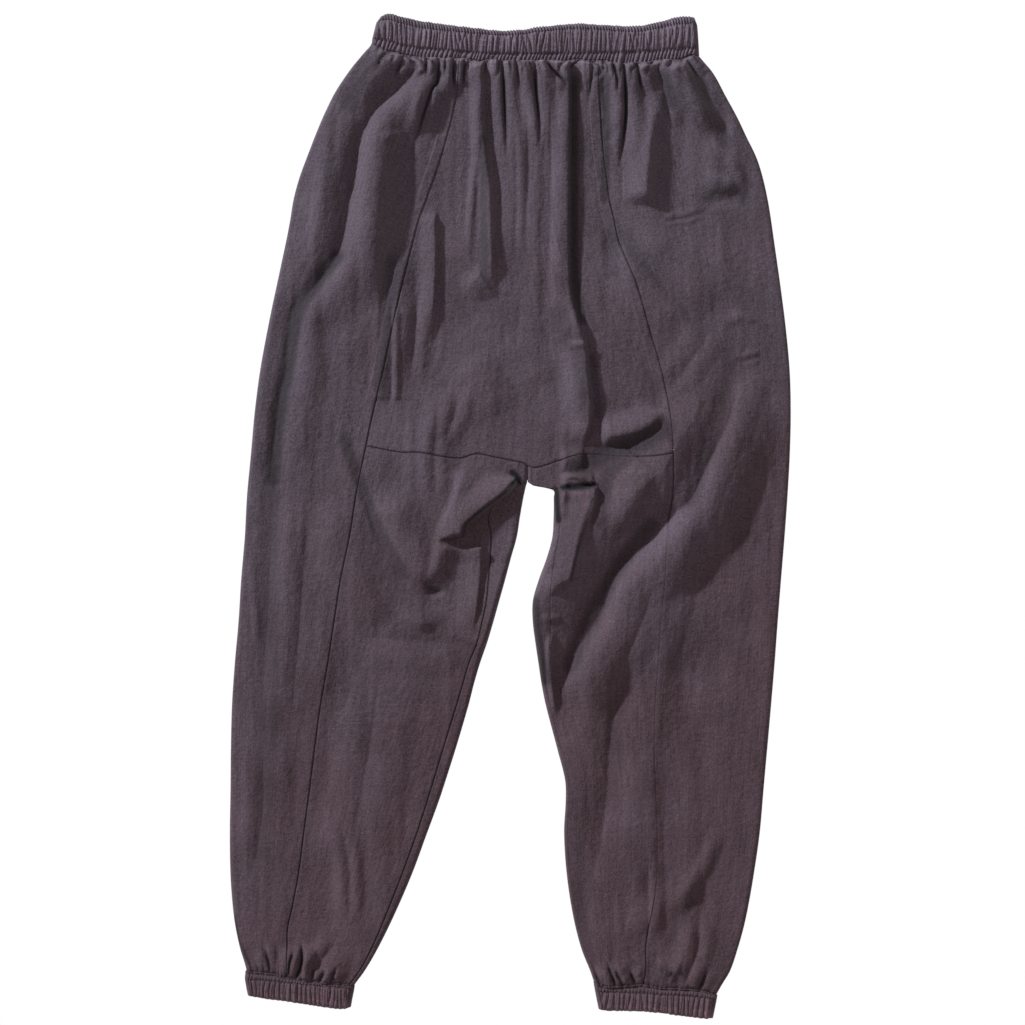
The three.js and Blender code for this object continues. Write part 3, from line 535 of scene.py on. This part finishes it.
# A first guess at a row's height, and how the guess closes in on it
GUESS_TOP, GUESS_STEP, GUESSES, GUESS_SHARE = 430, 435, 60, 0.3


def crossing(line, row):
    """Where rows cross a lengthwise line."""
    x = line(GUESS_TOP - row * GUESS_STEP)
    for _ in range(GUESSES):
        x = x + GUESS_SHARE * (line(row_height(row, x)) - x)
    return x


def cloth_net(name, columns, rows):
    """A flat net to be laid out: the object, and each point's place in it from 0 to 1."""
    net = bmesh.new()
    bmesh.ops.create_grid(net, x_segments=columns, y_segments=rows, size=0.5)
    mesh = bpy.data.meshes.new(name)
    net.to_mesh(mesh)
    net.free()
    places = np.empty(len(mesh.vertices) * 3)
    mesh.vertices.foreach_get("co", places)
    piece = bpy.data.objects.new(name, mesh)
    bpy.context.scene.collection.objects.link(piece)
    places = places.reshape(-1, 3)
    return piece, places[:, 0] + 0.5, places[:, 1] + 0.5


def lay_out(piece, x, y, z, u, v, size, groove_and_painted_shade):
    """Puts the net's points in their places, in millimetres, with a map of the flat cloth."""
    mesh = piece.data
    mesh.vertices.foreach_set("co", (np.stack([x, y, z], 1) * MM).ravel())
    corner = np.empty(len(mesh.loops), int)
    mesh.loops.foreach_get("vertex_index", corner)
    flat = mesh.uv_layers.new(name="cloth")
    flat.data.foreach_set("uv", np.stack([u[corner] * size[0], v[corner] * size[1]], 1).ravel() * MM)
    # The painted shade, with painted highlight below 0, that the cloth's material reads
    shade = mesh.attributes.new("groove_and_painted_shade", "FLOAT", "POINT")
    shade.data.foreach_set("value", groove_and_painted_shade)
    mesh.polygons.foreach_set("use_smooth", [True] * len(mesh.polygons))
    mesh.update()
    wall = piece.modifiers.new("wall", "SOLIDIFY")
    wall.thickness, wall.offset = CLOTH_THICKNESS * MM, -1


class Tone:
    """A value inside a material, so that sums on values read as plain sums."""

    def __init__(self, nodes, socket):
        self.nodes, self.socket = nodes, socket

    def maths(self, operation, *values):
        return self.nodes.add("ShaderNodeMath", {"operation": operation}, dict(enumerate(values)))

    def __add__(self, other):
        return self.maths("ADD", self, other)

    def __sub__(self, other):
        return self.maths("SUBTRACT", self, other)

    def __rsub__(self, other):
        return self.maths("SUBTRACT", other, self)

    def __mul__(self, other):
        return self.maths("MULTIPLY", self, other)

    __radd__, __rmul__ = __add__, __mul__


class Finish:
    """A material and the one way that nodes are added to it."""

    def __init__(self, name):
        self.material = bpy.data.materials.new(name)
        self.material.use_nodes = True
        self.tree = self.material.node_tree
        self.shader = self.tree.nodes["Principled BSDF"]

    def feed(self, socket, value):
        if isinstance(value, Tone):
            self.tree.links.new(value.socket, socket)
        else:
            socket.default_value = value

    def add(self, kind, settings=None, inputs=None, output=0):
        node = self.tree.nodes.new(kind)
        for key, value in (settings or {}).items():
            setattr(node, key, value)
        for key, value in (inputs or {}).items():
            self.feed(node.inputs[key], value)
        return Tone(self, node.outputs[output])


UPPER_COLOUR, LOWER_COLOUR = (0.072, 0.0540, 0.072, 1), (0.064, 0.0378, 0.0480, 1)
SHADE_STRENGTH = 0.86


def woven_cloth(name):
    """Dull mauve plain weave: slubbed yarns, a soft mottle, redder lower down; painted shade darkens it
    towards the right and in the seams and hollows, and painted highlights lighten crests.
    """
    cloth = Finish(name)
    place = cloth.add("ShaderNodeTexCoord", output="Object")
    flat = cloth.add("ShaderNodeUVMap", {"uv_map": "cloth"})
    split = cloth.add("ShaderNodeSeparateXYZ", inputs={0: place}).socket.node

    def noise(source, scale, detail, stretch=(1, 1, 1)):
        sized = cloth.add("ShaderNodeMapping", inputs={0: source, "Scale": stretch})
        return cloth.add("ShaderNodeTexNoise", inputs={0: sized, "Scale": scale, "Detail": detail})

    mottle = noise(place, 22, 3)
    slubs = noise(flat, 60, 2, (8, 0.5, 1))
    picks = noise(flat, 60, 2, (0.7, 9, 1))
    grain = noise(place, 620, 2)
    height, side = Tone(cloth, split.outputs["Y"]), Tone(cloth, split.outputs["X"])
    patches = noise(place, 9, 2)
    # Lower down the colour turns redder and darker; the same change towards the right is painted shade
    level = height - 0.5 * side + 0.9 * (patches - 0.5) + 0.2 * (mottle - 0.5)
    down = cloth.add("ShaderNodeMapRange", inputs={0: level, 1: 0.24, 2: -0.26})
    ground = cloth.add("ShaderNodeMix", {"data_type": "RGBA"}, {0: down, 6: UPPER_COLOUR, 7: LOWER_COLOUR}, 2)
    groove_and_painted_shade = cloth.add("ShaderNodeAttribute", {"attribute_name": "groove_and_painted_shade"}, output="Fac")
    light = 1 + 0.7 * (mottle - 0.5) + 0.7 * (slubs - 0.5) + 0.4 * (picks - 0.5) + 1.6 * (grain - 0.5)
    # The attribute's painted shade darkens seams, creases, hollows and rib gaps; below 0 it is painted
    # highlight
    light = light * (1 - SHADE_STRENGTH * groove_and_painted_shade)
    colour = cloth.add("ShaderNodeVectorMath", {"operation": "SCALE"}, {0: ground, "Scale": light})
    cloth.feed(cloth.shader.inputs["Base Color"], colour)
    cloth.feed(cloth.shader.inputs["Roughness"], 0.86 + 0.1 * grain)
    crinkle = noise(place, 210, 3)
    relief = 0.4 * grain + 0.35 * slubs + 0.25 * picks + 1.2 * crinkle
    bump = cloth.add("ShaderNodeBump", inputs={"Strength": 0.8, "Distance": 0.0009, "Height": relief})
    cloth.feed(cloth.shader.inputs["Normal"], bump)
    cloth.shader.inputs["Specular IOR Level"].default_value = 0.25
    cloth.shader.inputs["Sheen Weight"].default_value = 0.06
    cloth.shader.inputs["Sheen Roughness"].default_value = 0.6
    return cloth.material


ROW_CROWDING, SEAM_CROWDING = 1.15, 0.5


def spread(u):
    """Places the columns closer together at both seams."""
    return u - SEAM_CROWDING * np.sin(2 * math.pi * u) / (2 * math.pi)


GROOVE_DEPTH, GROOVE_WIDTH, CROTCH_SHADE = 0.9, 0.7, 0.65
UNDER_RISE = 0.35
INSEAM_SHOWS_BELOW = 12
# How deep the long seams sink, and how dark they are painted as shade: they are pressed flat near the waist
# and drawn in further down
SEAM_SHADES = {seam_left: ((235, 265), (0.95, 0.35)),
               seam_right: ((-370, -340, -15, 5, 150, 300, 385, 405),
                            (0.75, 0.12, 0.12, 0.85, 0.5, 0.6, 0.9, 0.4)),
               inseam_right: ((-195, -180), (0.15, 0.3))}


def seam_groove_and_painted_shade(line, distance, y):
    """How deep a place lies in a lengthwise seam, from 0 to 1, by its distance from it; the same share is
    painted as shade.
    """
    places, shades = SEAM_SHADES.get(line, ((INSEAM_SHOWS_BELOW - 20, INSEAM_SHOWS_BELOW), (1, 0)))
    return np.exp(-(distance / GROOVE_WIDTH) ** 2) * np.interp(y, places, shades)


# How deep the crotch seam sinks, which is painted as shade too
def crotch_groove_and_painted_shade(x, y, back):
    return CROTCH_SHADE * np.exp(-((y - row_height(1, x, back)) / GROOVE_WIDTH) ** 2)


def under_height(x, y, away, groove_and_painted_shade):
    """Height of the back layer's lower face, which rests flat but for soft creases off its edges."""
    return UNDER_RISE * (1 + ripple(x, y, 30, 60, 31)) * ease(away) + GROOVE_DEPTH * groove_and_painted_shade


def flat_piece(name, line_a, line_b, first, last, columns, rows, front=True):
    """A panel between two seams, in the front or the back layer."""
    piece, u, v = cloth_net(name, columns, rows)
    row = first + (last - first) * (1 - v) ** ROW_CROWDING
    stations, which = np.unique(np.round(row, 6), return_inverse=True)
    a = crossing(line_a, stations)[which]
    b = crossing(line_b, stations)[which]
    x = a + (b - a) * spread(u)
    back = 0.0 if front else 1.0
    y = row_height(row, x, back)
    groove_and_painted_shade = np.maximum(seam_groove_and_painted_shade(line_a, x - a, y), seam_groove_and_painted_shade(line_b, b - x, y))
    groove_and_painted_shade = np.maximum(groove_and_painted_shade, crotch_groove_and_painted_shade(x, y, back))
    if front:
        groove_and_painted_shade = np.maximum(groove_and_painted_shade, hollow_shade(x, y)) - painted_crest_highlight(x, y)
        z = front_height(x, y) - GROOVE_DEPTH * groove_and_painted_shade
    else:
        z = under_height(x, y, np.minimum(x - a, b - x) / 15, groove_and_painted_shade)
    lay_out(piece, x, y, z, u, v, (abs((b - a).mean()), np.ptp(y)), groove_and_painted_shade)
    return piece


def turned_piece(name, front_line, edge_line, back_line, outward, first, last, counts, rows):
    """A panel that turns round an edge of a leg, from a seam on the front to one on the back."""
    columns = sum(counts)
    piece, u, v = cloth_net(name, columns, rows)
    u = u if outward > 0 else 1 - u
    row = first + (last - first) * (1 - v) ** ROW_CROWDING
    stations, which = np.unique(np.round(row, 6), return_inverse=True)
    front = crossing(front_line, stations)
    edge = crossing(edge_line, stations)
    back = crossing(back_line, stations)[which]
    room = 0.75 * np.maximum(np.abs(edge - front), MIN_STRIP)
    bend = np.minimum(EDGE_ROUND, room)[which]
    front, edge = front[which], edge[which]
    turn = edge - outward * bend
    turn_y = row_height(row, turn)
    half = front_height(turn, turn_y) / 2
    on_front, on_bend = counts[0] / columns, (counts[0] + counts[1]) / columns
    f = np.clip(u / on_front, 0, 1)
    f = f - 0.5 * np.sin(math.pi * f) / math.pi
    angle = math.pi / 2 - math.pi * np.clip((u - on_front) / (on_bend - on_front), 0, 1)
    k = np.clip((u - on_bend) / (1 - on_bend), 0, 1)
    x = np.where(u <= on_front, front + (turn - front) * f, turn + outward * bend * np.cos(angle))
    x = np.where(u > on_bend, turn + (back - turn) * k, x)
    y = row_height(row, x, ease(k * 4))
    on_top = u < 0.5 * (on_front + on_bend)
    top_groove_and_painted_shade = np.maximum(seam_groove_and_painted_shade(front_line, np.abs(x - front), y), hollow_shade(x, y))
    under_groove_and_painted_shade = seam_groove_and_painted_shade(back_line, np.abs(x - back), y)
    groove_and_painted_shade = np.where(on_top, top_groove_and_painted_shade - painted_crest_highlight(x, y), under_groove_and_painted_shade)
    if first == 1:
        groove_and_painted_shade = np.maximum(groove_and_painted_shade, crotch_groove_and_painted_shade(x, y, ease(k * 4)))
    z = np.where(u <= on_front, front_height(x, y) - GROOVE_DEPTH * groove_and_painted_shade, half + half * np.sin(angle))
    z = np.where(u > on_bend, under_height(x, y, k * 3, groove_and_painted_shade), z)
    width = np.abs(edge - front).mean() + np.abs(edge - back).mean()
    lay_out(piece, x, y, z, u, v, (width, np.ptp(y)), groove_and_painted_shade)
    return piece


cloth = woven_cloth("woven_cloth")
# Columns of the net on the front, round the edge and on the back
SIDE_COLUMNS, LEFT_INNER_COLUMNS, RIGHT_INNER_COLUMNS = (104, 8, 18), (12, 8, 24), (8, 8, 24)
panels = [
    flat_piece("front_centre_panel_cloth", seam_left, seam_right, 0, 1, 170, 230),
    flat_piece("back_centre_panel_cloth", seam_left, seam_right, 0, 1, 50, 70, front=False),
    turned_piece("side_panel_left_cloth", seam_left, outer_left, seam_left, -1, 0, 2, SIDE_COLUMNS, 340),
    turned_piece("side_panel_right_cloth", seam_right, outer_right, seam_right, 1, 0, 2, SIDE_COLUMNS, 340),
    flat_piece("front_inner_leg_left_cloth", seam_left, inseam_left, 1, 2, 100, 240),
    flat_piece("front_inner_leg_right_cloth", inseam_right, seam_right, 1, 2, 90, 240),
    turned_piece("back_inner_leg_left_cloth", inseam_left, inner_left, seam_left,
                 1, 1, 2, LEFT_INNER_COLUMNS, 200),
    turned_piece("back_inner_leg_right_cloth", inseam_right, inner_right, seam_right,
                 -1, 1, 2, RIGHT_INNER_COLUMNS, 200),
]
for panel in panels:
    node = panel.name.removesuffix("_cloth")
    panel.data.materials.append(cloth)
    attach(panel, "root")
    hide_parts(node)


# Waistband
# A casing of the same cloth, drawn up on elastic: a gathered header under it, the channel with
# the elastic, and a frilled top edge, with two rows of stitches between them.
UNDER_RIB = 1.6
STITCH_SHADE, STITCH_WIDTH = 0.45, 0.02
# Painted highlight on the crests of the ribs, which catch the light, and painted shade between them, where
# little of it gets down
RIB_SHADE, RIB_FALL, RIB_PAINTED_HIGHLIGHT = 1.25, 1.1, 0.62


def ribbed_band(name, lines, ends, crowns, counts, rows, ribs, wave):
    """A gathered band right round, ribbed on both faces, with lines from its body seam outwards."""
    columns = counts[0] + counts[2] + 2 * counts[1]
    piece, u, v = cloth_net(name, columns, rows)
    levels = np.linspace(0, 1, len(lines))
    on_front, bend = counts[0] / columns, counts[1] / columns
    f = np.clip(u / on_front, 0, 1)
    k = np.clip((u - on_front - bend) / (counts[2] / columns), 0, 1)
    radius = EDGE_ROUND - 1
    left = np.interp(v, levels, [end[0] for end in ends]) + radius
    right = np.interp(v, levels, [end[1] for end in ends]) - radius
    x = np.where(u <= on_front, left + (right - left) * f, right + (left - right) * k)
    right_turn = (u > on_front) & (u < on_front + bend)
    left_turn = u > 1 - bend
    angle = np.where(right_turn, math.pi / 2 - math.pi * (u - on_front) / bend,
                     -math.pi / 2 - math.pi * (u - 1 + bend) / bend)
    x = np.where(right_turn, right + radius * np.cos(angle), x)
    x = np.where(left_turn, left + radius * np.cos(angle), x)
    heights = np.stack([line(x) for line in lines])
    index = np.clip((v * (len(lines) - 1)).astype(int), 0, len(lines) - 2)
    part = v * (len(lines) - 1) - index
    spot = np.arange(len(u))
    y = heights[index, spot] * (1 - part) + heights[index + 1, spot] * part
    rib = 0
    for count, start, stop, rise, slant, uneven, seed in ribs:
        window = np.interp(v, [start - 0.03, start + 0.03, stop - 0.03, stop + 0.03], [0, 1, 1, 0])
        ribbed = gathers(x + slant * v, ends[0][0], ends[0][1], count, seed, 0.6 * y, uneven, 0.65)
        rib = rib + rise * window * ribbed
    y = y + np.sign(heights[-1] - heights[0]) * wave * (rib - 1) * ease((v - 0.85) / 0.15)
    crown = np.interp(v, *zip(*crowns))
    share = ease(v / crowns[1][0])
    level = front_height(x, heights[0]) * (1 - share) + crown * share
    half = front_height(np.where(u < 0.5 * (1 + on_front), right, left), heights[0]) / 2
    half = half * (1 - share) + crown / 2 * share
    z = np.where(u <= on_front, level + rib * share, 0.5 * (UNDER_RIB - rib).clip(0, UNDER_RIB))
    z = np.where(right_turn | left_turn, half * (1 + np.sin(angle)), z)
    # Painted shade in the stitch rows and between the ribs on the front, painted highlight on their crests
    stitches = STITCH_SHADE * sum(np.exp(-((v - row) / STITCH_WIDTH) ** 2) for row in levels[1:-1])
    rib_shade = np.where(u <= on_front, RIB_SHADE * np.exp(-RIB_FALL * rib) - RIB_PAINTED_HIGHLIGHT, 0)
    shade = share * rib_shade + stitches
    return piece, x, y, z, u, v, shade


# Columns: left and right end of the band at its body seam, its stitch rows and its top edge
WAIST_ENDS = [(-131.3, 179.4), (-131, 179), (-127, 177.5), (-123, 175)]
# Columns: share of the band's height, level of its crown
WAIST_CROWNS = [(0, 0), (0.06, 6.6), (0.2, 7.0), (0.31, 6.4), (0.34, 6.5), (0.37, 7.6), (0.45, 8.4),
                (0.56, 8.6), (0.62, 7.8), (0.65, 6.6), (0.69, 6.2), (0.74, 7.0), (0.86, 6.8), (1, 4.4)]
# Columns: ribs along the band, from and to shares of its height, rise, slant, unevenness, seed
WAIST_RIBS = [(84, 0.0, 0.34, 2.8, -9, 0.5, 41), (54, 0.33, 0.67, 2.6, 0, 0.66, 43),
              (98, 0.33, 0.67, 1.6, -3, 0.6, 45), (112, 0.64, 1.03, 3.2, 3, 0.35, 47)]
# The whole band is painted a little lighter, as painted light
BAND_PAINTED_LIGHT = 0.13
band, x, y, z, u, v, shade = ribbed_band(
    "waistband_cloth", [waist_seam, *waist_lines[1:]], WAIST_ENDS,
    WAIST_CROWNS, (640, 8, 130), 44, WAIST_RIBS, 0.35)
lay_out(band, x, y, z, u, v, (640, 32), shade - BAND_PAINTED_LIGHT)
band.data.materials.append(cloth)
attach(band, "root")
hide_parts("waistband")

# Cuffs
# Narrow casings of the same cloth on elastic: one stitch row under the leg seam, then the ribs
# of the channel down to its lower edge.
# Columns: share of the cuff's height, level of its crown
CUFF_CROWNS = [(0, 0), (0.3, 8.4), (0.42, 7.8), (0.49, 7.2), (0.56, 8.0), (0.72, 8.6), (0.9, 7.8), (1, 5.0)]
CUFF_RIBS = [(34, 0.05, 0.48, 1.5, 3, 0.6, 51), (21, 0.5, 1.03, 2.4, 0, 0.66, 53),
             (40, 0.5, 1.03, 1.0, 2, 0.6, 55)]
for side, lines, ends in (
    ("left", left_cuff_lines, [(-250.5, -148), (-251, -148.5), (-248.3, -151.7)]),
    ("right", right_cuff_lines, [(79.6, 196), (81, 195.3), (84.5, 191.8)]),
):
    cuff, x, y, z, u, v, shade = ribbed_band(
        f"cuff_{side}_cloth", lines, ends, CUFF_CROWNS, (230, 8, 60), 26, CUFF_RIBS, 0.2)
    # Painted shade and highlight of the ribs are weaker and a little darker here, and the lower edge gets a
    # painted highlight
    shade = 0.6 * shade + 0.1 - 0.5 * ease((v - 0.7) / 0.2)
    lay_out(cuff, x, y, z, u, v, (200, 22), shade)
    cuff.data.materials.append(cloth)
    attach(cuff, "root")
    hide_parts(f"cuff_{side}")


# Floor, light and camera
# A plain white floor that glows evenly, one soft sun low from the upper left and an even sky; the
# camera looks straight down from 2.3 m. All sizes here are metres.
FLOOR_HALF, FLOOR_LEVEL = 4, -0.0005
floor_net = bmesh.new()
bmesh.ops.create_grid(floor_net, x_segments=2, y_segments=2, size=FLOOR_HALF)
floor_mesh = bpy.data.meshes.new("floor")
floor_net.to_mesh(floor_mesh)
floor_net.free()
floor_mesh.transform(Matrix.Translation((0, 0, FLOOR_LEVEL)))
floor = bpy.data.objects.new("floor", floor_mesh)
bpy.context.scene.collection.objects.link(floor)
floor_finish = Finish("white_floor")
floor_finish.shader.inputs["Base Color"].default_value = (0, 0, 0, 1)
floor_finish.shader.inputs["Specular IOR Level"].default_value = 0
floor_finish.shader.inputs["Emission Color"].default_value = (1, 1, 1, 1)
floor_finish.shader.inputs["Emission Strength"].default_value = 1
floor.data.materials.append(floor_finish.material)

SUN_HEIGHT, SUN_TURN = math.radians(23), math.radians(144)
sun = bpy.data.lights.new("key", "SUN")
sun.energy, sun.angle, sun.color = 4.7, math.radians(4), (0.89, 0.96, 1.0)
key = bpy.data.objects.new("key", sun)
bpy.context.scene.collection.objects.link(key)
key.rotation_euler = (0, math.pi / 2 - SUN_HEIGHT, SUN_TURN)

world = bpy.data.worlds.new("sky")
bpy.context.scene.world = world
world.use_nodes = True
world.node_tree.nodes["Background"].inputs["Color"].default_value = (1.0, 0.92, 0.89, 1)
world.node_tree.nodes["Background"].inputs["Strength"].default_value = 0.5
bpy.context.scene.view_settings.view_transform = "Standard"

# The side and the middle of the square that the camera sees on the floor
VIEW_SIDE, VIEW_X, VIEW_Y, CAMERA_HEIGHT = 0.97375, 0.0022, 0.0036, 2.3
SENSOR = 36
camera_data = bpy.data.cameras.new("camera")
camera_data.sensor_width = SENSOR
camera_data.lens = SENSOR * CAMERA_HEIGHT / VIEW_SIDE
camera = bpy.data.objects.new("camera", camera_data)
bpy.context.scene.collection.objects.link(camera)
camera.location = (VIEW_X, VIEW_Y, CAMERA_HEIGHT)
bpy.context.scene.camera = camera
